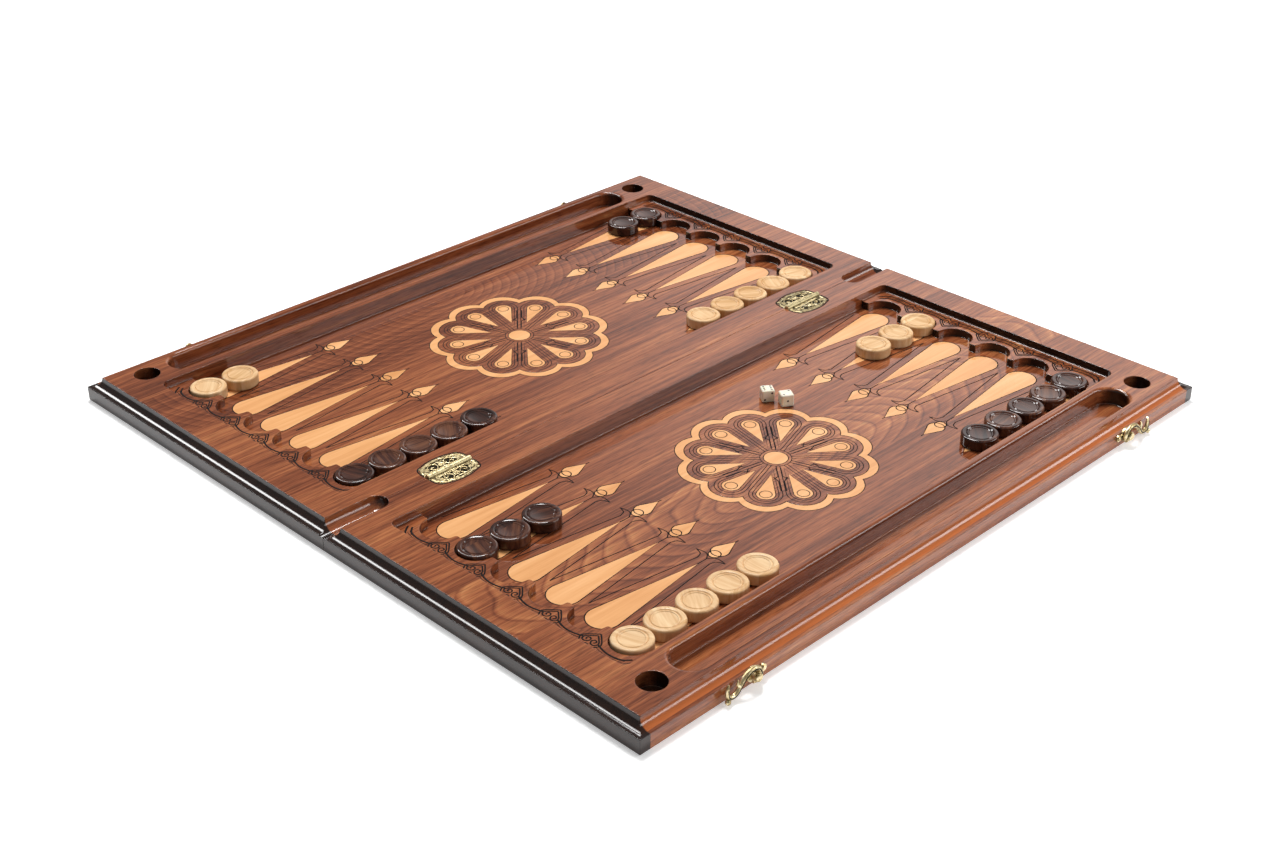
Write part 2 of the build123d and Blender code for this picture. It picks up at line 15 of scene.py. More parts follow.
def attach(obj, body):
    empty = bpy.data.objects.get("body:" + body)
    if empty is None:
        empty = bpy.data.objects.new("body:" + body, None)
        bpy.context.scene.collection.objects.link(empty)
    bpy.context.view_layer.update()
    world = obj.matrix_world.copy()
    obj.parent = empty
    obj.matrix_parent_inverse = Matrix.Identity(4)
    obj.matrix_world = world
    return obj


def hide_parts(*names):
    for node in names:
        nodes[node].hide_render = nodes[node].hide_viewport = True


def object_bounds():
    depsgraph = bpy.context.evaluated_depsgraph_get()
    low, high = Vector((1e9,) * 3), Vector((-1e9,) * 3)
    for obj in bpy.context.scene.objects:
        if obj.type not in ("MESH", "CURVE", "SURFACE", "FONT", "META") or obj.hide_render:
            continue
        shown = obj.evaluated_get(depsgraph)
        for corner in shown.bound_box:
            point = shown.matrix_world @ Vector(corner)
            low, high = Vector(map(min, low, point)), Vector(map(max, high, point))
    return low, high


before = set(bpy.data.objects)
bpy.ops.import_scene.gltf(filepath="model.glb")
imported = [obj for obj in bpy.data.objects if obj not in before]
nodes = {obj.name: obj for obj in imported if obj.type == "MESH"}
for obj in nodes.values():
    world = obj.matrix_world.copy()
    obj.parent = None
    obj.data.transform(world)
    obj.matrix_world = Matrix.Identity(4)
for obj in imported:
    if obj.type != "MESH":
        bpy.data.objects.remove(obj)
cad_low, cad_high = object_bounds()
scene = bpy.context.scene
MM = 0.001

# ---------------------------------------------------------------------------------------------
# Camera. It looks down on the open board from beyond its front left corner, 30 degrees above
# the table, through a short telephoto lens.
camera_target = Vector((-52, -52, 18)) * MM
camera_distance = 1366 * MM
camera_bearing = math.radians(225)
camera_rise = math.radians(29.6)

lens = bpy.data.cameras.new("camera")
lens.sensor_width = 36
lens.lens = 52.5
camera = bpy.data.objects.new("camera", lens)
scene.collection.objects.link(camera)
camera_way = Vector(
    (
        math.cos(camera_rise) * math.cos(camera_bearing),
        math.cos(camera_rise) * math.sin(camera_bearing),
        math.sin(camera_rise),
    )
)
camera.location = camera_target + camera_distance * camera_way
camera.rotation_euler = (-camera_way).to_track_quat("-Z", "Y").to_euler()
scene.camera = camera


# ---------------------------------------------------------------------------------------------
# Studio. White paper under the board, a soft key light high behind it, a tall strip at the back
# for the line along the left moulding, a low fill in front, and white walls with a bright window.
def linear_colour(code):
    """Turns an sRGB hex colour into the linear colour that the shaders work in."""
    shares = [int(code[i : i + 2], 16) / 255 for i in (1, 3, 5)]
    return [s / 12.92 if s <= 0.04045 else ((s + 0.055) / 1.055) ** 2.4 for s in shares] + [1.0]


def add_node(tree, kind, sockets=None, stops=(), **settings):
    """Adds a shader node and sets it. Each socket gets a value, or the node or output that feeds it."""
    node = tree.nodes.new(kind)
    for name, value in settings.items():
        setattr(node, name, value)
    for place, colour in stops:
        ramp = node.color_ramp
        stop = ramp.elements.new(place)
        stop.color = colour
    if stops:
        node.color_ramp.elements.remove(node.color_ramp.elements[-1])
        node.color_ramp.elements.remove(node.color_ramp.elements[0])
        for stop, (place, colour) in zip(node.color_ramp.elements, sorted(stops)):
            stop.position, stop.color = place, colour
    live = [s for s in node.inputs if s.enabled]
    for name, value in (sockets or {}).items():
        socket = live[name] if isinstance(name, int) else next(s for s in live if s.name == name)
        if isinstance(value, bpy.types.Node):
            value = next(s for s in value.outputs if s.enabled)
        if isinstance(value, bpy.types.NodeSocket):
            tree.links.new(value, socket)
        else:
            socket.default_value = value
    return node


def start_material(name, **finish):
    """A new material: its node tree and its shader, with the shader's constant values set."""
    material = bpy.data.materials.new(name)
    material.use_nodes = True
    shader = material.node_tree.nodes["Principled BSDF"]
    for socket, value in finish.items():
        shader.inputs[socket.replace("_", " ")].default_value = value
    return material, material.node_tree, shader


def softbox(name, place, aim, width, height, power):
    """A soft rectangular studio lamp."""
    lamp = bpy.data.lights.new(name, "AREA")
    lamp.shape = "RECTANGLE"
    lamp.size = width
    lamp.size_y = height
    lamp.energy = power
    holder = bpy.data.objects.new(name, lamp)
    scene.collection.objects.link(holder)
    holder.location = place
    holder.rotation_euler = (Vector(aim) - Vector(place)).to_track_quat("-Z", "Y").to_euler()
    return holder


def standing(bearing, rise, distance):
    """A place round the board, by its bearing and height in degrees and its distance in metres."""
    turn, lift = math.radians(bearing), math.radians(rise)
    level = math.cos(lift)
    return distance * Vector((level * math.cos(turn), level * math.sin(turn), math.sin(lift)))


scene.view_settings.view_transform = "Standard"
window_way = standing(29, 24, 1)
softbox("key_light", standing(56, 69, 2.6), (0, 0, 0), 0.9, 0.9, 70)
back_strip = softbox("back_strip", standing(106, 48, 2.2), (-0.2, 0, 0), 0.42, 1.9, 45)
# the strip shows only as a reflection in the lacquer
back_strip.visible_diffuse = False
softbox("front_fill", standing(-50, 26, 2.2), (0.1, -0.1, 0), 1.5, 0.5, 17)

studio = bpy.data.worlds.new("studio")
studio.use_nodes = True
scene.world = studio
walls = studio.node_tree
backdrop = walls.nodes["Background"]
way_out = add_node(walls, "ShaderNodeTexCoord").outputs["Generated"]
toward_window = add_node(
    walls, "ShaderNodeVectorMath", {0: way_out, 1: window_way}, operation="DOT_PRODUCT"
).outputs["Value"]
wall_glow = add_node(
    walls,
    "ShaderNodeMapRange",
    {"Value": toward_window, "From Min": 0.925, "From Max": 1.0, "To Min": 0.26, "To Max": 1.4},
    interpolation_type="SMOOTHSTEP",
)
seen = add_node(walls, "ShaderNodeLightPath").outputs["Is Camera Ray"]
wall_light = add_node(walls, "ShaderNodeMix", {"Factor": seen, "A": wall_glow, "B": 1.0})
walls.links.new(wall_light.outputs[0], backdrop.inputs["Strength"])
backdrop.inputs["Color"].default_value = linear_colour("#ffffff")

# seamless white paper, which glows a little so that the shadow on it stays pale
paper, paper_tree, paper_shader = start_material("white_paper", Roughness=0.7, Emission_Strength=0.35)
paper_shader.inputs["Base Color"].default_value = linear_colour("#fafafa")
paper_shader.inputs["Emission Color"].default_value = linear_colour("#ffffff")
table_mesh = bmesh.new()
bmesh.ops.create_grid(table_mesh, x_segments=1, y_segments=1, size=4.0)
table_data = bpy.data.meshes.new("table")
table_mesh.to_mesh(table_data)
table_mesh.free()
table = bpy.data.objects.new("table", table_data)
scene.collection.objects.link(table)
table_data.materials.append(paper)
table.location.z = cad_low.z - 0.2 * MM

# ---------------------------------------------------------------------------------------------
# Leaves. Each is a panel of beech staves glued edge to edge, carved, stained red-brown and
# finished in clear gloss lacquer. The grain runs along X, and the end grain drinks more stain.
stave_width = 66.7 * MM
stave_edge = -320.0 * MM
back_shift = 23.0 * MM
top_face = 18.95 * MM
well_place = (263 * MM, 273 * MM, 0)
well_floor = 5 * MM
moulding_foot = 11.5 * MM
ring_spacing = 5.6 * MM
# each stave's place of the heart across it, stretch of the rings along it, tone, and strength of the rings
stave_cuts = (
    (0.20, 0.90, 0.53, 0.20),
    (0.85, 1.00, 0.52, 0.22),
    (0.49, 0.06, 0.57, 0.70),
    (0.10, 0.80, 0.50, 0.22),
    (0.80, 0.90, 0.51, 0.20),
    (0.60, 1.00, 0.50, 0.20),
    (0.15, 0.80, 0.51, 0.20),
    (0.79, 0.01, 0.43, 0.42),
    (0.20, 0.90, 0.47, 0.20),
    (0.40, 0.90, 0.50, 0.20),
)

# stained beech: red-brown staves with dark pores, under a clear coat
beech, wood, beech_shader = start_material(
    "stained_beech",
    Roughness=0.45,
    Specular_IOR_Level=0.0,
    Coat_Weight=1.0,
    Coat_Roughness=0.1,
    Coat_IOR=1.5,
)
place = add_node(wood, "ShaderNodeTexCoord")
along, across, up = add_node(wood, "ShaderNodeSeparateXYZ", {0: place.outputs["Object"]}).outputs
# which stave a point is in, as constant steps of colour across the panel
at_back = add_node(wood, "ShaderNodeMath", {0: across, 1: 0.0}, operation="GREATER_THAN")
panel_shift = add_node(
    wood, "ShaderNodeMath", {0: at_back, 1: -back_shift, 2: across}, operation="MULTIPLY_ADD"
)
panel_width = len(stave_cuts) * stave_width
share = add_node(
    wood,
    "ShaderNodeMapRange",
    {"Value": panel_shift, "From Min": stave_edge, "From Max": stave_edge + panel_width},
)
cut_ramp = add_node(
    wood,
    "ShaderNodeValToRGB",
    {0: share},
    stops=[(k / len(stave_cuts), cut) for k, cut in enumerate(stave_cuts)],
)
cut_ramp.color_ramp.interpolation = "CONSTANT"
heart, stretch, tone = add_node(wood, "ShaderNodeSeparateColor", {0: cut_ramp.outputs["Color"]}).outputs
ring_strength = cut_ramp.outputs["Alpha"]
from_edge = add_node(wood, "ShaderNodeMath", {0: panel_shift, 1: stave_edge}, operation="SUBTRACT")
in_stave = add_node(wood, "ShaderNodeMath", {0: from_edge, 1: stave_width}, operation="FLOORED_MODULO")
heart_place = add_node(wood, "ShaderNodeMapRange", {"Value": heart, "To Min": -30 * MM, "To Max": 96 * MM})
from_heart = add_node(wood, "ShaderNodeMath", {0: in_stave, 1: heart_place}, operation="SUBTRACT")
# every stave has its own run of noise
stave_count = add_node(wood, "ShaderNodeMath", {0: from_edge, 1: stave_width}, operation="DIVIDE")
stave_number = add_node(wood, "ShaderNodeMath", {0: stave_count}, operation="FLOOR")
own_run = add_node(wood, "ShaderNodeCombineXYZ", {0: stave_number})
own_place = add_node(wood, "ShaderNodeVectorMath", {0: place.outputs["Object"], 1: own_run}, operation="ADD")


def stave_noise(scale, detail, roughness=0.5):
    """Noise drawn out along the grain, different in every stave."""
    drawn_out = add_node(wood, "ShaderNodeMapping", {0: own_place, "Scale": scale})
    return add_node(
        wood,
        "ShaderNodeTexNoise",
        {"Vector": drawn_out, "Scale": 1.0, "Detail": detail, "Roughness": roughness},
    )


# growth rings: long ellipses about the heart of the log, which wander a little
wander = add_node(
    wood,
    "ShaderNodeMapRange",
    {"Value": stave_noise((9, 22, 22), 2.0, 0.4), "To Min": -11 * MM, "To Max": 11 * MM},
)
draw_out = add_node(wood, "ShaderNodeMapRange", {"Value": stretch, "To Min": 1.25, "To Max": 34.0})
drawn_along = add_node(wood, "ShaderNodeMath", {0: along, 1: draw_out}, operation="DIVIDE")
beside = add_node(wood, "ShaderNodeMath", {0: from_heart, 1: wander}, operation="ADD")
from_pith = add_node(wood, "ShaderNodeCombineXYZ", {0: drawn_along, 1: beside, 2: up})
ring_radius = add_node(wood, "ShaderNodeVectorMath", {0: from_pith}, operation="LENGTH").outputs["Value"]
wandered = add_node(wood, "ShaderNodeMath", {0: wander, 1: 0.5, 2: ring_radius}, operation="MULTIPLY_ADD")
ring_count = add_node(wood, "ShaderNodeMath", {0: wandered, 1: ring_spacing}, operation="DIVIDE")
ring_share = add_node(wood, "ShaderNodeMath", {0: ring_count}, operation="FRACT")
rings = add_node(
    wood,
    "ShaderNodeValToRGB",
    {0: ring_share},
    stops=[
        (0.0, (0.2, 0.2, 0.2, 1)),
        (0.12, (0.5, 0.5, 0.5, 1)),
        (0.45, (0.56, 0.56, 0.56, 1)),
        (0.8, (0.78, 0.78, 0.78, 1)),
        (0.93, (0.5, 0.5, 0.5, 1)),
        (1.0, (0.2, 0.2, 0.2, 1)),
    ],
)
# bands, long soft streaks, and fine dark pores
bands = stave_noise((2.5, 38, 38), 2.0)
streaks = stave_noise((7, 300, 300), 5.0, 0.7)
pores = stave_noise((75, 1300, 1300), 2.0)
pore_marks = add_node(
    wood,
    "ShaderNodeMapRange",
    {"Value": pores, "From Min": 0.3, "From Max": 0.52, "To Min": 0.55, "To Max": 1.0},
)
ring_lift = add_node(wood, "ShaderNodeMath", {0: rings, 1: 0.55}, operation="SUBTRACT")
ring_part = add_node(wood, "ShaderNodeMath", {0: ring_lift, 1: ring_strength}, operation="MULTIPLY")
ring_tone = add_node(wood, "ShaderNodeMath", {0: ring_part, 1: 0.55, 2: -0.6}, operation="MULTIPLY_ADD")
band_part = add_node(wood, "ShaderNodeMath", {0: bands, 1: 0.45, 2: ring_tone}, operation="MULTIPLY_ADD")
streak_part = add_node(wood, "ShaderNodeMath", {0: streaks, 1: 0.74, 2: band_part}, operation="MULTIPLY_ADD")
tone_part = add_node(wood, "ShaderNodeMath", {0: tone, 1: 1.0, 2: streak_part}, operation="MULTIPLY_ADD")
brown = add_node(
    wood,
    "ShaderNodeValToRGB",
    {0: tone_part},
    stops=[
        (0.18, linear_colour("#40190d")),
        (0.38, linear_colour("#6d371f")),
        (0.52, linear_colour("#905030")),
        (0.66, linear_colour("#ad6a40")),
        (0.86, linear_colour("#cb905a")),
    ],
)
pored = add_node(
    wood,
    "ShaderNodeMix",
    {"Factor": 1.0, "A": brown, "B": pore_marks},
    data_type="RGBA",
    blend_type="MULTIPLY",
)
# end grain drinks the stain and turns almost black; the bored wells are darkened almost black as well,
# partly soaked stain on their walls and partly painted shade in the deep holes
facing = add_node(wood, "ShaderNodeSeparateXYZ", {0: place.outputs["Normal"]}).outputs[0]
end_on = add_node(wood, "ShaderNodeMath", {0: facing}, operation="ABSOLUTE")
end_grain = add_node(
    wood, "ShaderNodeMapRange", {"Value": end_on, "From Min": 0.4, "From Max": 0.9, "To Max": 0.95}
)
quarter = add_node(wood, "ShaderNodeVectorMath", {0: place.outputs["Object"]}, operation="ABSOLUTE")
on_plan = add_node(wood, "ShaderNodeVectorMath", {0: quarter, 1: (1, 1, 0)}, operation="MULTIPLY")
from_well = add_node(
    wood, "ShaderNodeVectorMath", {0: on_plan, 1: well_place}, operation="DISTANCE"
).outputs["Value"]
well_shade_reach = add_node(
    wood,
    "ShaderNodeMapRange",
    {"Value": from_well, "From Min": 9.7 * MM, "From Max": 10.2 * MM, "To Min": 0.85, "To Max": 0.0},
)
out_x, out_y, _ = add_node(wood, "ShaderNodeSeparateXYZ", {0: quarter}).outputs
in_end_cove = add_node(
    wood,
    "ShaderNodeMapRange",
    {"Value": out_x, "From Min": 291.0 * MM, "From Max": 292.0 * MM, "To Min": 0.0, "To Max": 0.95},
)
below_top = add_node(wood, "ShaderNodeMath", {0: up, 1: top_face}, operation="LESS_THAN")
end_cove = add_node(wood, "ShaderNodeMath", {0: in_end_cove, 1: below_top}, operation="MULTIPLY")
soaked_ends = add_node(wood, "ShaderNodeMath", {0: end_grain, 1: end_cove}, operation="MAXIMUM")
# painted shade: the inside of each well, its floor too, is darkened towards black
bored = add_node(wood, "ShaderNodeMath", {0: up, 1: well_floor}, operation="GREATER_THAN")
painted_well_shade = add_node(wood, "ShaderNodeMath", {0: well_shade_reach, 1: bored}, operation="MULTIPLY")
stain_and_well_shade = add_node(wood, "ShaderNodeMath", {0: soaked_ends, 1: painted_well_shade}, operation="MAXIMUM")
# painted light: the coves along the long sides are tinted redder and brighter, standing in for the warm
# light bounced into them
side_cove_light_band = add_node(
    wood,
    "ShaderNodeMapRange",
    {"Value": out_y, "From Min": 291.2 * MM, "From Max": 292.2 * MM, "To Min": 0.0, "To Max": 0.65},
)
side_cove_light = add_node(wood, "ShaderNodeMath", {0: side_cove_light_band, 1: below_top}, operation="MULTIPLY")
above_side = add_node(wood, "ShaderNodeMath", {0: up, 1: moulding_foot}, operation="GREATER_THAN")
painted_cove_light = add_node(wood, "ShaderNodeMath", {0: side_cove_light, 1: above_side}, operation="MULTIPLY")
# the wood colour with the painted warm light mixed into the side coves
with_cove_light = add_node(
    wood,
    "ShaderNodeMix",
    {"Factor": painted_cove_light, "A": pored, "B": linear_colour("#c26a34")},
    data_type="RGBA",
)
# the near-black stain colour also carries the painted shade in the wells
stain_and_painted_light = add_node(
    wood,
    "ShaderNodeMix",
    {"Factor": stain_and_well_shade, "A": with_cove_light, "B": linear_colour("#0e0604")},
    data_type="RGBA",
)
wood.links.new(next(s for s in stain_and_painted_light.outputs if s.enabled), beech_shader.inputs["Base Color"])
# the arrises are eased with fine paper, and the pores show through the lacquer
eased = add_node(wood, "ShaderNodeBevel", {"Radius": 1.1 * MM}, samples=4)
fibre_bump = add_node(
    wood, "ShaderNodeBump", {"Height": pores, "Strength": 0.15, "Distance": 0.1 * MM, "Normal": eased}
)
wood.links.new(fibre_bump.outputs[0], beech_shader.inputs["Normal"])
wood.links.new(fibre_bump.outputs[0], beech_shader.inputs["Coat Normal"])


def coat_node(name, material):
    """Gives a carried-over node its material in every slot."""
    data = nodes[name].data
    if not data.materials:
        data.materials.append(material)
    for k in range(len(data.materials)):
        data.materials[k] = material


for leaf in ("front", "back"):
    coat_node(f"leaf_{leaf}", beech)

# ---------------------------------------------------------------------------------------------
# Light inlays. Points, buds and rosettes are cut from pale unstained beech, let in flush with
# the floor of the field, and lie under the same clear lacquer.
# unstained beech: warm tan, streaked along the grain
inlay, pale, pale_shader = start_material(
    "light_beech_inlay",
    Roughness=0.5,
    Specular_IOR_Level=0.0,
    Coat_Weight=0.8,
    Coat_Roughness=0.12,
    Coat_IOR=1.5,
)
pale_place = add_node(pale, "ShaderNodeTexCoord").outputs["Object"]
pale_streaks = add_node(
    pale,
    "ShaderNodeTexNoise",
    {
        "Vector": add_node(pale, "ShaderNodeMapping", {0: pale_place, "Scale": (14, 260, 260)}),
        "Scale": 1.0,
        "Detail": 4.0,
        "Roughness": 0.6,
    },
)
pale_clouds = add_node(
    pale,
    "ShaderNodeTexNoise",
    {
        "Vector": add_node(pale, "ShaderNodeMapping", {0: pale_place, "Scale": (9, 28, 28)}),
        "Scale": 1.0,
        "Detail": 1.0,
    },
)
pale_mix = add_node(pale, "ShaderNodeMath", {0: pale_clouds, 1: 0.5, 2: 0.0}, operation="MULTIPLY_ADD")
pale_tone = add_node(
    pale, "ShaderNodeMath", {0: pale_streaks, 1: 0.5, 2: pale_mix}, operation="MULTIPLY_ADD"
)
pale_colour = add_node(
    pale,
    "ShaderNodeValToRGB",
    {0: pale_tone},
    stops=[
        (0.30, linear_colour("#cf9059")),
        (0.50, linear_colour("#e0a46c")),
        (0.70, linear_colour("#edb681")),
    ],
)
pale.links.new(pale_colour.outputs[0], pale_shader.inputs["Base Color"])
for leaf in ("front", "back"):
    coat_node(f"points_{leaf}", inlay)
    coat_node(f"rosette_{leaf}", inlay)

# ---------------------------------------------------------------------------------------------
# Engraved lines. A fine V cutter runs round every inlay and draws the tendrils between the
# points, the garland on the shelf and the rosette's tracery. The cuts take the stain almost black.
row_middle = 139.0
row_pitch = 36.4
rows = [row_middle + (k - 2.5) * row_pitch for k in range(6)]
floor_height = 6.0
shelf_height = 12.6
cut_rise = 0.12

# the cut wood: matt and almost black; the same dark paint also draws the painted shadow round the hinge
# plates
cut_and_shadow_paint, cut_tree, cut_shader = start_material("stained_cut_and_shadow", Roughness=0.8, Specular_IOR_Level=0.15)
cut_place = add_node(cut_tree, "ShaderNodeTexCoord").outputs["Object"]
cut_noise = add_node(cut_tree, "ShaderNodeTexNoise", {"Vector": cut_place, "Scale": 400.0, "Detail": 2.0})
cut_colour = add_node(
    cut_tree,
    "ShaderNodeValToRGB",
    {0: cut_noise},
    stops=[(0.35, linear_colour("#0c0503")), (0.7, linear_colour("#1c0d08"))],
)
cut_tree.links.new(cut_colour.outputs[0], cut_shader.inputs["Base Color"])


def arc(middle, radius, start, end):
    """Points of an arc, in millimetres, with its angles in degrees."""
    steps = max(2, round(abs(end - start) / 7.5))
    angles = [math.radians(start + (end - start) * k / steps) for k in range(steps + 1)]
    return [(middle[0] + radius * math.cos(a), middle[1] + radius * math.sin(a)) for a in angles]


def teardrop(round_place, radius, tip_place):
    """A closed teardrop on the X axis: a round end and two straight sides to a tip nearer the origin."""
    lean = 180 - math.degrees(math.acos(radius / (round_place - tip_place)))
    return ("line", [(tip_place, 0.0)] + arc((round_place, 0), radius, lean, -lean), True)


def ring(middle, radius):
    """A closed circle."""
    return ("line", arc(middle, radius, 0, 360)[:-1], True)


def moved(strokes, flip=1, turn=0.0, shift=(0.0, 0.0)):
    """The same strokes flipped end for end, then turned by an angle in degrees, then shifted."""
    c, s = math.cos(math.radians(turn)), math.sin(math.radians(turn))
    right, ahead = shift
    return [
        (kind, [(c * flip * x - s * y + right, s * flip * x + c * y + ahead) for x, y in points], closed)
        for kind, points, closed in strokes
    ]


def both_sides(strokes):
    """Strokes together with their mirror image across the X axis."""
    return strokes + moved(strokes, flip=-1, turn=180)


def lay_strokes(name, body, strokes, width, height, rise, material):
    """Lays strokes on a leaf as fine beads of one width, flattened to a share of their own height."""
    path = bpy.data.curves.new(name, "CURVE")
    path.dimensions = "3D"
    path.twist_mode = "Z_UP"
    path.bevel_depth = width / 2 * MM
    path.bevel_resolution = 0 if rise < 0.3 else 2
    path.use_fill_caps = True
    path.resolution_u = 6
    for kind, points, closed in strokes:
        line = path.splines.new("NURBS" if kind == "sweep" else "POLY")
        line.points.add(len(points) - 1)
        for knot, (x, y) in zip(line.points, points):
            knot.co = (x * MM, y * MM, 0, 1)
        line.use_cyclic_u = closed
        if kind == "sweep":
            line.order_u = 3
            line.use_endpoint_u = not closed
    drawn = bpy.data.objects.new(name + "_path", path)
    scene.collection.objects.link(drawn)
    bpy.context.view_layer.update()
    data = bpy.data.meshes.new_from_object(drawn)
    bpy.data.objects.remove(drawn)
    data.transform(Matrix.Translation((0, 0, height * MM)) @ Matrix.Diagonal((1, 1, rise, 1)))
    data.name = name
    data.materials.clear()
    data.materials.append(material)
    for face in data.polygons:
        face.use_smooth = True
    piece = bpy.data.objects.new(name, data)
    scene.collection.objects.link(piece)
    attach(piece, body)
    return piece


# one point: its border, its stem, the bud with its seed and tail, and the tendril on each side
point_strokes = [
    teardrop(226.0, 12.25, 139.0),
    ("line", [(140.0, 0.0), (131.0, 0.0)], False),
    teardrop(118.0, 6.55, 102.6),
    ("line", [(103.0, 0.0), (99.8, 0.0)], False),
    ring((123.4, 0), 4.3),
] + both_sides(
    [
        ("sweep", [(131.4, 0.0), (127.8, 2.2), (126.0, 4.9), (126.2, 9.0), (127.2, 13.2)], False),
        ("sweep", [(127.2, 13.2), (128.3, 8.6), (130.6, 6.4), (135.0, 5.5)], False),
        ("line", [(133.6, 5.6), (222.0, 18.2)], False),
    ]
)
# the garland: a double cord that bows out round each pocket, with a fine line between
cord_strokes = both_sides(
    [
        ("sweep", [(260.9, 0.0), (260.9, 5.8), (259.6, 11.4)], False),
        ("sweep", [(257.1, 0.0), (257.0, 5.8), (254.4, 11.6)], False),
    ]
)
core_strokes = both_sides([("sweep", [(259.0, 0.0), (258.9, 5.8), (257.1, 11.2)], False)])
# where the garland ends the cord turns in along the wall
cord_end = [
    ("sweep", [(260.9, 0.0), (260.9, 7.0), (258.6, 13.4), (251.6, 17.4)], False),
    ("sweep", [(257.1, 0.0), (257.0, 5.6), (255.2, 10.6), (250.6, 14.2)], False),
]
# between two pockets: a heart drawn twice, two curls in it, and two lobes at its back
heart_strokes = both_sides(
    [
        ("sweep", [(258.4, 6.6), (255.4, 9.0), (252.8, 7.9), (249.2, 4.2), (245.6, 0.0)], False),
        ("line", [(252.4, 5.2), (247.9, 0.0)], False),
        ("sweep", [(252.4, 5.2), (254.6, 6.8), (257.4, 5.2), (257.2, 1.6), (254.6, 0.6)], False),
        ("sweep", [(254.6, 0.6), (252.6, 1.2), (252.6, 3.8), (254.8, 4.2), (255.4, 2.9)], False),
        ("sweep", [(258.6, 6.8), (261.4, 5.8), (261.4, 2.6), (259.2, 2.2), (258.4, 0.0)], False),
    ]
)
# one petal of the rosette, from the eye outwards
petal_strokes = [
    teardrop(51.3, 7.0, 23.6),
    ring((51.3, 0), 4.5),
    teardrop(51.3, 9.3, 15.5),
    ("line", [(11.6, -1.7)] + arc((51.3, 0), 12.0, -105, 105) + [(11.6, 1.7)], False),
]
# in every other gap between petals the two lines break and step apart, like a woven knot
knot_strokes = both_sides(
    [
        ("line", [(30.0, 5.4), (26.0, 1.6), (14.0, 1.6)], False),
        ("line", [(27.0, 5.0), (33.0, 2.0), (46.0, 2.0)], False),
    ]
)


def scallop(ring_place, radius):
    """The outer arc of one lobe of a scalloped ring of twelve, up to where it meets its neighbours."""
    half = math.radians(15)
    reach = ring_place * math.cos(half) + math.sqrt(radius**2 - (ring_place * math.sin(half)) ** 2)
    lean = math.degrees(math.atan2(reach * math.sin(half), reach * math.cos(half) - ring_place))
    return ("line", arc((ring_place, 0), radius, -lean, lean), False)


rosette_strokes = [ring((0, 0), 9.05), ring((0, 0), 11.6)]
rosette_knots = []
for k in range(12):
    rosette_strokes += moved(petal_strokes + [scallop(54.0, 20.3), scallop(50.5, 16.9)], turn=30 * k + 3.5)
    if k % 2:
        rosette_knots += moved(knot_strokes, turn=30 * k + 18.5)

for leaf, body, way in (("front", "front_leaf", -1), ("back", "back_leaf", 1)):
    rosette_lines = moved(rosette_strokes, shift=(0, way * row_middle))
    knot_lines = moved(rosette_knots, shift=(0, way * row_middle))
    floor_lines, cord_lines, core_lines, heart_lines = [], [], [], []
    for end in (-1, 1):
        for k, row in enumerate(rows):
            floor_lines += moved(point_strokes, flip=end, shift=(0, way * row))
            cord_lines += moved(cord_strokes, flip=end, shift=(0, way * row))
            core_lines += moved(core_strokes, flip=end, shift=(0, way * row))
            if k:
                heart_lines += moved(heart_strokes, flip=end, shift=(0, way * (row - row_pitch / 2)))
        for row, outward in ((rows[0], -1), (rows[-1], 1)):
            turned = moved(cord_end, flip=end * way * outward, turn=0 if way * outward > 0 else 180)
            cord_lines += moved(turned, shift=(0, way * row))
    engraving = (
        ("floor_engraving", floor_lines, 0.85, floor_height),
        ("rosette_engraving", rosette_lines, 0.65, floor_height),
        ("rosette_knots", knot_lines, 0.9, floor_height),
        ("garland_cords", cord_lines, 1.4, shelf_height),
        ("garland_cores", core_lines, 0.5, shelf_height),
        ("garland_hearts", heart_lines, 1.1, shelf_height),
    )
    for part, strokes, width, height in engraving:
        lay_strokes(f"{part}_{leaf}", body, strokes, width, height, cut_rise, cut_and_shadow_paint)

# ---------------------------------------------------------------------------------------------
# Hinges. Cast brass, toned dark and rubbed bright on the high places. The plates are let in
# flush and carry a raised rim with leaf scrolls, and each is held by two screws.
# rubbed brass, for the high places
brass, brass_tree, brass_shader = start_material("antique_brass", Metallic=1.0, Roughness=0.3)
brass_place = add_node(brass_tree, "ShaderNodeTexCoord").outputs["Object"]
tarnish = add_node(
    brass_tree,
    "ShaderNodeTexNoise",
    {"Vector": brass_place, "Scale": 260.0, "Detail": 4.0, "Roughness": 0.6},
)
brass_colour = add_node(
    brass_tree,
    "ShaderNodeValToRGB",
    {0: tarnish},
    stops=[
        (0.34, linear_colour("#7d6c49")),
        (0.48, linear_colour("#c3b084")),
        (0.66, linear_colour("#ecdfba")),
    ],
)
brass_tree.links.new(brass_colour.outputs[0], brass_shader.inputs["Base Color"])
brass_rough = add_node(
    brass_tree,
    "ShaderNodeMapRange",
    {"Value": tarnish, "From Min": 0.35, "From Max": 0.7, "To Min": 0.5, "To Max": 0.24},
)
brass_tree.links.new(brass_rough.outputs[0], brass_shader.inputs["Roughness"])

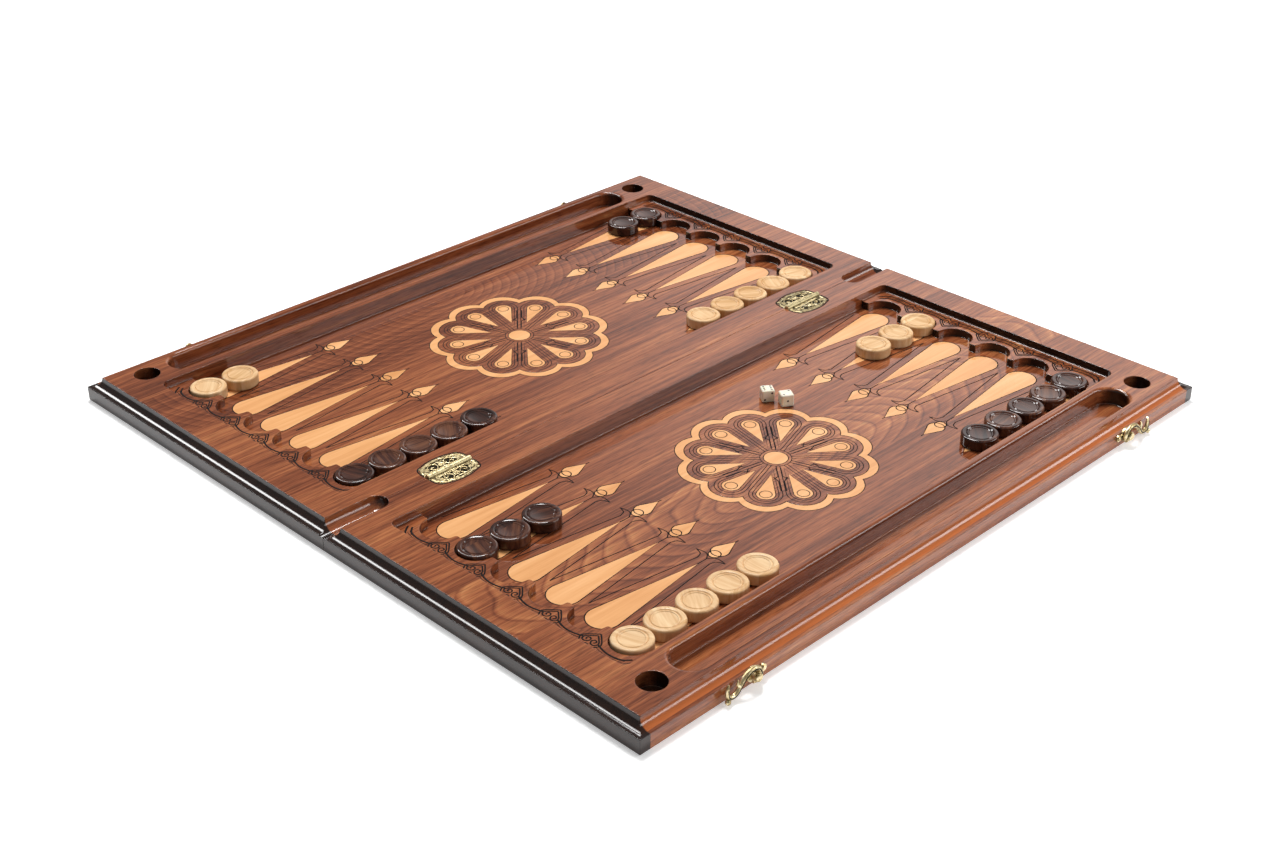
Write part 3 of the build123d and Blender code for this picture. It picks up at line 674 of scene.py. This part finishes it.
# toned brass, for the ground between them
ground, ground_tree, ground_shader = start_material("toned_brass_ground", Metallic=1.0, Roughness=0.5)
ground_place = add_node(ground_tree, "ShaderNodeTexCoord").outputs["Object"]
ground_height = add_node(ground_tree, "ShaderNodeSeparateXYZ", {0: ground_place}).outputs[2]
ground_noise = add_node(
    ground_tree, "ShaderNodeTexNoise", {"Vector": ground_place, "Scale": 500.0, "Detail": 3.0}
)
ground_lift = add_node(
    ground_tree,
    "ShaderNodeMapRange",
    {"Value": ground_height, "From Min": 18.3 * MM, "From Max": 19.4 * MM, "To Min": -0.1, "To Max": 0.45},
)
ground_tone = add_node(ground_tree, "ShaderNodeMath", {0: ground_noise, 1: ground_lift}, operation="ADD")
ground_colour = add_node(
    ground_tree,
    "ShaderNodeValToRGB",
    {0: ground_tone},
    stops=[
        (0.45, linear_colour("#14110c")),
        (0.70, linear_colour("#574b33")),
        (0.95, linear_colour("#c9ba90")),
    ],
)
ground_tree.links.new(ground_colour.outputs[0], ground_shader.inputs["Base Color"])

hinge_offset = 190.0
hinge_top = 19.0
hinge_sunk = 18.4
# the beads stand 0.2 mm proud at most, so that they clear each other when the board is shut
bead_height = hinge_top - 0.13
rim_strokes = moved(
    both_sides([("sweep", [(3.2, -18.2), (7.4, -18.6), (11.6, -15.2), (14.4, -8.0), (15.3, 0.0)], False)]),
    turn=90,
)
scroll_strokes = moved(
    both_sides(
        [
            ("sweep", [(8.5, 3.2), (5.4, 5.0), (4.6, 8.6), (7.6, 10.4), (9.4, 8.2), (7.4, 7.0)], False),
            ("sweep", [(9.2, 3.2), (12.4, 4.4), (12.8, 8.0), (10.6, 11.2), (7.6, 12.6)], False),
            ("sweep", [(11.6, 0.0), (13.0, 2.0), (12.2, 4.0)], False),
            ("sweep", [(5.2, 0.0), (4.2, 2.0), (4.6, 4.2)], False),
        ]
    ),
    turn=90,
)
boss_strokes = [ring((0, 8.47), 2.0), ring((0, 8.47), 0.9)]
# a fringe of short ribs beside the barrel, and a painted shadow line round the plate where the gap of its
# pocket falls dark
fringe_strokes = [("line", [(1.7 * k, 2.9), (1.7 * k, 5.0)], False) for k in range(-7, 8)]
gap_shadow_edge = [(3.0, -20.1), (8.2, -20.4), (13.6, -18.0), (15.0, -13.6), (17.4, -6.0), (17.5, 0.0)]
gap_shadow_strokes = moved(both_sides([("sweep", gap_shadow_edge, False)]), turn=90)
# what lies on each plate: the strokes, their width, height and rise, and their material
relief = (
    ("rim", rim_strokes, 1.0, bead_height, 0.6, brass),
    ("scrolls", scroll_strokes, 0.9, hinge_sunk + 0.1, 1.3, brass),
    ("boss", boss_strokes, 0.7, bead_height, 0.7, brass),
    ("fringe", fringe_strokes, 0.8, bead_height, 0.6, brass),
    # painted shadow: a dark line laid almost flat on the wood round the plate
    ("gap_shadow", gap_shadow_strokes, 1.1, hinge_top, 0.1, cut_and_shadow_paint),
)
for side, side_name in ((-1, "left"), (1, "right")):
    for leaf, body, way in (("front", "front_leaf", -1), ("back", "back_leaf", 1)):
        turn = 0 if way == 1 else 180
        shift = (side * hinge_offset, 0)
        for part, strokes, width, height, rise, metal in relief:
            lines = moved(strokes, turn=turn, shift=shift)
            lay_strokes(f"hinge_{part}_{side_name}_{leaf}", body, lines, width, height, rise, metal)
        coat_node(f"hinge_{side_name}_{leaf}_half", ground)
    coat_node(f"hinge_{side_name}_pin", brass)
coat_node("hinge_screws_front", brass)
coat_node("hinge_screws_back", brass)

# ---------------------------------------------------------------------------------------------
# Hooks. Two cast brass hooks swing on pivots in the front edge and catch on two pins in the back
# edge when the board is shut. Each is an S of round metal with a toned channel along its front.
turns_around = 2 * math.pi
pivot_place = Vector((205.0, -303.6, 8.3))
# the hook's line, outward and upward from its pivot, and the thickness of the metal there
arm_line = (
    (2.6, -3.4, 0.9),
    (-1.6, -4.6, 1.3),
    (-4.4, -1.6, 1.6),
    (-3.8, 3.6, 1.8),
    (1.0, 6.6, 1.9),
    (6.6, 6.4, 1.9),
    (11.2, 3.0, 1.8),
    (14.4, -0.6, 1.7),
    (16.6, -3.4, 1.7),
    (20.0, -5.0, 1.7),
    (23.8, -4.2, 1.7),
    (25.5, -1.2, 1.5),
    (25.4, 2.6, 1.3),
    (24.2, 5.8, 0.6),
)
horn_line = ((14.2, -0.4, 1.5), (15.8, 1.0, 1.2), (16.6, 3.0, 0.9), (15.8, 5.2, 0.4))
stem_line = ((23.6, -3.4, 1.2), (24.8, -4.8, 1.0), (25.4, -5.6, 1.2))
hub_bore = 1.56
hub_radius = 3.5
hub_half = 1.9
finial_place = (25.6, -5.6, 0.9)
finial_radius = 1.95


def hook_place(side, outward, upward, forward=0.0):
    """A place on a hook in metres, from its distances outward, upward and forward of the pivot."""
    offset = Vector((side * outward, -forward, upward))
    return (Vector((side * pivot_place.x, pivot_place.y, pivot_place.z)) + offset) * MM


def cast_line(name, body, side, line, material, thickness=1.0, proud=0.0):
    """Metal cast along a line, round in section, or a fine line lying proud on its front."""
    path = bpy.data.curves.new(name, "CURVE")
    path.dimensions = "3D"
    path.bevel_depth = MM
    path.bevel_resolution = 4
    path.use_fill_caps = True
    path.resolution_u = 8
    spline = path.splines.new("NURBS")
    spline.points.add(len(line) - 1)
    for knot, (outward, upward, metal) in zip(spline.points, line):
        knot.co = (*hook_place(side, outward, upward, proud * metal), 1)
        knot.radius = metal * thickness
    spline.order_u = 3
    spline.use_endpoint_u = True
    drawn = bpy.data.objects.new(name + "_path", path)
    scene.collection.objects.link(drawn)
    bpy.context.view_layer.update()
    data = bpy.data.meshes.new_from_object(drawn)
    bpy.data.objects.remove(drawn)
    return finish_casting(name, body, data, material)


def finish_casting(name, body, data, material):
    """Smooths a casting, gives it its metal, and hangs it on its body."""
    data.name = name
    data.materials.clear()
    data.materials.append(material)
    for face in data.polygons:
        face.use_smooth = True
    piece = bpy.data.objects.new(name, data)
    scene.collection.objects.link(piece)
    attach(piece, body)
    return piece


for side, side_name in ((-1, "left"), (1, "right")):
    hook_body = f"{side_name}_hook"
    arm = cast_line(f"hook_arm_{side_name}", hook_body, side, arm_line, brass)
    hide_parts(f"latch_{side_name}_hook")
    cast_line(f"hook_horn_{side_name}", hook_body, side, horn_line, brass)
    cast_line(f"hook_stem_{side_name}", hook_body, side, stem_line, ground)
    channel_line = arm_line[2:13]
    cast_line(f"hook_channel_{side_name}", hook_body, side, channel_line, ground, thickness=0.28, proud=0.84)
    # the hub turns on the pivot
    hub = bmesh.new()
    corners = [(hub_bore, -hub_half), (hub_radius, -hub_half), (hub_radius, hub_half), (hub_bore, hub_half)]
    rim = [hub.verts.new(hook_place(side, out, 0.0, forward)) for out, forward in corners]
    edges = [hub.edges.new((rim[k], rim[(k + 1) % 4])) for k in range(4)]
    bmesh.ops.spin(
        hub,
        geom=rim + edges,
        cent=hook_place(side, 0, 0),
        axis=(0, 1, 0),
        angle=turns_around,
        steps=40,
        use_merge=True,
    )
    bmesh.ops.remove_doubles(hub, verts=hub.verts, dist=0.001 * MM)
    bmesh.ops.recalc_face_normals(hub, faces=hub.faces)
    hub_data = bpy.data.meshes.new("hub")
    hub.to_mesh(hub_data)
    hub.free()
    finish_casting(f"hook_hub_{side_name}", hook_body, hub_data, brass)
    for face in hub_data.polygons:
        face.use_smooth = False
    # the ball that a finger lifts
    ball = bmesh.new()
    bmesh.ops.create_uvsphere(ball, u_segments=28, v_segments=18, radius=finial_radius * MM)
    bmesh.ops.translate(ball, verts=ball.verts, vec=hook_place(side, *finial_place))
    ball_data = bpy.data.meshes.new("ball")
    ball.to_mesh(ball_data)
    ball.free()
    finish_casting(f"hook_ball_{side_name}", hook_body, ball_data, brass)
    for part in ("plate", "pivot", "catch"):
        coat_node(f"latch_{side_name}_{part}", brass)
coat_node("latch_screws", brass)

# ---------------------------------------------------------------------------------------------
# Checkers. Turned from beech, fifteen left pale and fifteen stained dark, then lacquered. Each
# blank was cut at its own angle to the grain, so no two match.
cell_pitch = 28.8 * MM
cell_start = 20.8 * MM
cell_row = 40.0 * MM


def checker_grain(tree, fibre_scale):
    """Grain that turns and shifts from one checker's place to the next: a streak value and a random tone."""
    spot = add_node(tree, "ShaderNodeTexCoord").outputs["Object"]
    spot_x, spot_y, _ = add_node(tree, "ShaderNodeSeparateXYZ", {0: spot}).outputs
    side = add_node(tree, "ShaderNodeMath", {0: spot_x}, operation="SIGN")
    outward = add_node(tree, "ShaderNodeMath", {0: spot_x}, operation="ABSOLUTE")
    from_start = add_node(tree, "ShaderNodeMath", {0: outward, 1: cell_start}, operation="SUBTRACT")
    column = add_node(tree, "ShaderNodeMath", {0: from_start, 1: cell_pitch}, operation="DIVIDE")
    column_step = add_node(tree, "ShaderNodeMath", {0: column}, operation="FLOOR")
    row_place = add_node(tree, "ShaderNodeMath", {0: spot_y, 1: cell_row}, operation="DIVIDE")
    row_step = add_node(tree, "ShaderNodeMath", {0: row_place}, operation="FLOOR")
    cell = add_node(tree, "ShaderNodeCombineXYZ", {0: column_step, 1: row_step, 2: side})
    chance = add_node(tree, "ShaderNodeTexWhiteNoise", {"Vector": cell}, noise_dimensions="3D")
    angle = add_node(tree, "ShaderNodeMath", {0: chance.outputs["Value"], 1: math.pi}, operation="MULTIPLY")
    turned = add_node(
        tree, "ShaderNodeVectorRotate", {"Vector": spot, "Angle": angle}, rotation_type="Z_AXIS"
    )
    shifted = add_node(
        tree, "ShaderNodeVectorMath", {0: turned, 1: chance.outputs["Color"]}, operation="ADD"
    )
    stretched = add_node(tree, "ShaderNodeMapping", {0: shifted, "Scale": fibre_scale})
    fibres = add_node(
        tree, "ShaderNodeTexNoise", {"Vector": stretched, "Scale": 1.0, "Detail": 4.0, "Roughness": 0.6}
    )
    tone_shift = add_node(tree, "ShaderNodeSeparateColor", {0: chance.outputs["Color"]}).outputs[1]
    centred = add_node(tree, "ShaderNodeMath", {0: tone_shift, 1: 0.24, 2: -0.12}, operation="MULTIPLY_ADD")
    return add_node(tree, "ShaderNodeMath", {0: fibres, 1: centred}, operation="ADD")


# pale beech with a thin satin coat
pale_wood, pale_wood_tree, pale_wood_shader = start_material(
    "pale_beech_checker",
    Roughness=0.5,
    Specular_IOR_Level=0.0,
    Coat_Weight=0.4,
    Coat_Roughness=0.28,
    Coat_IOR=1.5,
)
pale_wood_colour = add_node(
    pale_wood_tree,
    "ShaderNodeValToRGB",
    {0: checker_grain(pale_wood_tree, (25, 300, 60))},
    stops=[
        (0.30, linear_colour("#c69a68")),
        (0.50, linear_colour("#d8b184")),
        (0.72, linear_colour("#e6c69b")),
    ],
)
pale_wood_tree.links.new(pale_wood_colour.outputs[0], pale_wood_shader.inputs["Base Color"])

# beech stained dark brown with a full gloss coat
dark_wood, dark_tree, dark_shader = start_material(
    "dark_stained_checker",
    Roughness=0.3,
    Specular_IOR_Level=0.0,
    Coat_Weight=1.0,
    Coat_Roughness=0.08,
    Coat_IOR=1.5,
)
dark_colour = add_node(
    dark_tree,
    "ShaderNodeValToRGB",
    {0: checker_grain(dark_tree, (25, 300, 60))},
    stops=[
        (0.30, linear_colour("#22100b")),
        (0.52, linear_colour("#43241a")),
        (0.75, linear_colour("#6b432e")),
    ],
)
dark_tree.links.new(dark_colour.outputs[0], dark_shader.inputs["Base Color"])
for k in range(1, 16):
    coat_node(f"checker_light_{k:02d}", pale_wood)
    coat_node(f"checker_dark_{k:02d}", dark_wood)

# ---------------------------------------------------------------------------------------------
# Dice. Cast ivory-coloured plastic, tumbled round at the corners, with drilled pips filled
# with black paint.
die_side = 10.0
pip_radius = 0.82
pip_spread = 2.7
pip_sink = 0.12
pip_depth = 0.1
pip_taper = 0.8

# ivory plastic, a little translucent
ivory, ivory_tree, ivory_shader = start_material(
    "ivory_plastic", Roughness=0.22, Subsurface_Weight=0.15, Subsurface_Scale=0.002
)
ivory_place = add_node(ivory_tree, "ShaderNodeTexCoord").outputs["Object"]
ivory_noise = add_node(
    ivory_tree, "ShaderNodeTexNoise", {"Vector": ivory_place, "Scale": 180.0, "Detail": 2.0}
)
ivory_colour = add_node(
    ivory_tree,
    "ShaderNodeValToRGB",
    {0: ivory_noise},
    stops=[(0.3, linear_colour("#e6dcc4")), (0.7, linear_colour("#f4eedd"))],
)
ivory_tree.links.new(ivory_colour.outputs[0], ivory_shader.inputs["Base Color"])

# black paint in the pips
pip_paint, pip_tree, pip_shader = start_material("black_pip_paint", Roughness=0.35)
pip_place = add_node(pip_tree, "ShaderNodeTexCoord").outputs["Object"]
pip_noise = add_node(pip_tree, "ShaderNodeTexNoise", {"Vector": pip_place, "Scale": 900.0})
pip_colour = add_node(
    pip_tree,
    "ShaderNodeValToRGB",
    {0: pip_noise},
    stops=[(0.3, linear_colour("#0b0b0c")), (0.7, linear_colour("#1c1b1c"))],
)
pip_tree.links.new(pip_colour.outputs[0], pip_shader.inputs["Base Color"])

pip_layout = {
    1: ((0, 0),),
    2: ((-1, -1), (1, 1)),
    3: ((-1, -1), (0, 0), (1, 1)),
    4: ((-1, -1), (-1, 1), (1, -1), (1, 1)),
    5: ((-1, -1), (-1, 1), (0, 0), (1, -1), (1, 1)),
    6: ((-1, -1), (-1, 0), (-1, 1), (1, -1), (1, 0), (1, 1)),
}
dice = (
    ("die_upper", (61.2, -76.0), -35.0, (6, 1, 2, 5, 3, 4)),
    ("die_lower", (65.9, -91.0), -31.0, (2, 5, 1, 6, 4, 3)),
)
for die, spot, die_turn, values in dice:
    middle = Vector((*spot, floor_height + die_side / 2))
    yaw = Matrix.Rotation(math.radians(die_turn), 3, "Z")
    along_die, across_die, up_die = yaw @ Vector((1, 0, 0)), yaw @ Vector((0, 1, 0)), Vector((0, 0, 1))
    # facing and row direction of the top, bottom, near, far, left and right faces
    faces = (
        (up_die, along_die),
        (-up_die, along_die),
        (-across_die, along_die),
        (across_die, along_die),
        (-along_die, across_die),
        (along_die, across_die),
    )
    paint = bmesh.new()
    for (normal, row_way), value in zip(faces, values):
        column_way = normal.cross(row_way)
        for u, v in pip_layout[value]:
            beside_middle = (row_way * u + column_way * v) * pip_spread
            centre = middle + normal * (die_side / 2 - pip_sink) + beside_middle
            turn = Matrix((row_way, column_way, normal)).transposed().to_4x4()
            bmesh.ops.create_cone(
                paint,
                cap_ends=True,
                segments=20,
                radius1=pip_radius * MM,
                radius2=pip_radius * pip_taper * MM,
                depth=pip_depth * MM,
                matrix=Matrix.Translation(centre * MM) @ turn,
            )
    data = bpy.data.meshes.new(f"pips_{die}")
    paint.to_mesh(data)
    paint.free()
    data.materials.append(pip_paint)
    pips = bpy.data.objects.new(f"pips_{die}", data)
    scene.collection.objects.link(pips)
    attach(pips, f"{die}_body")
    coat_node(die, ivory)
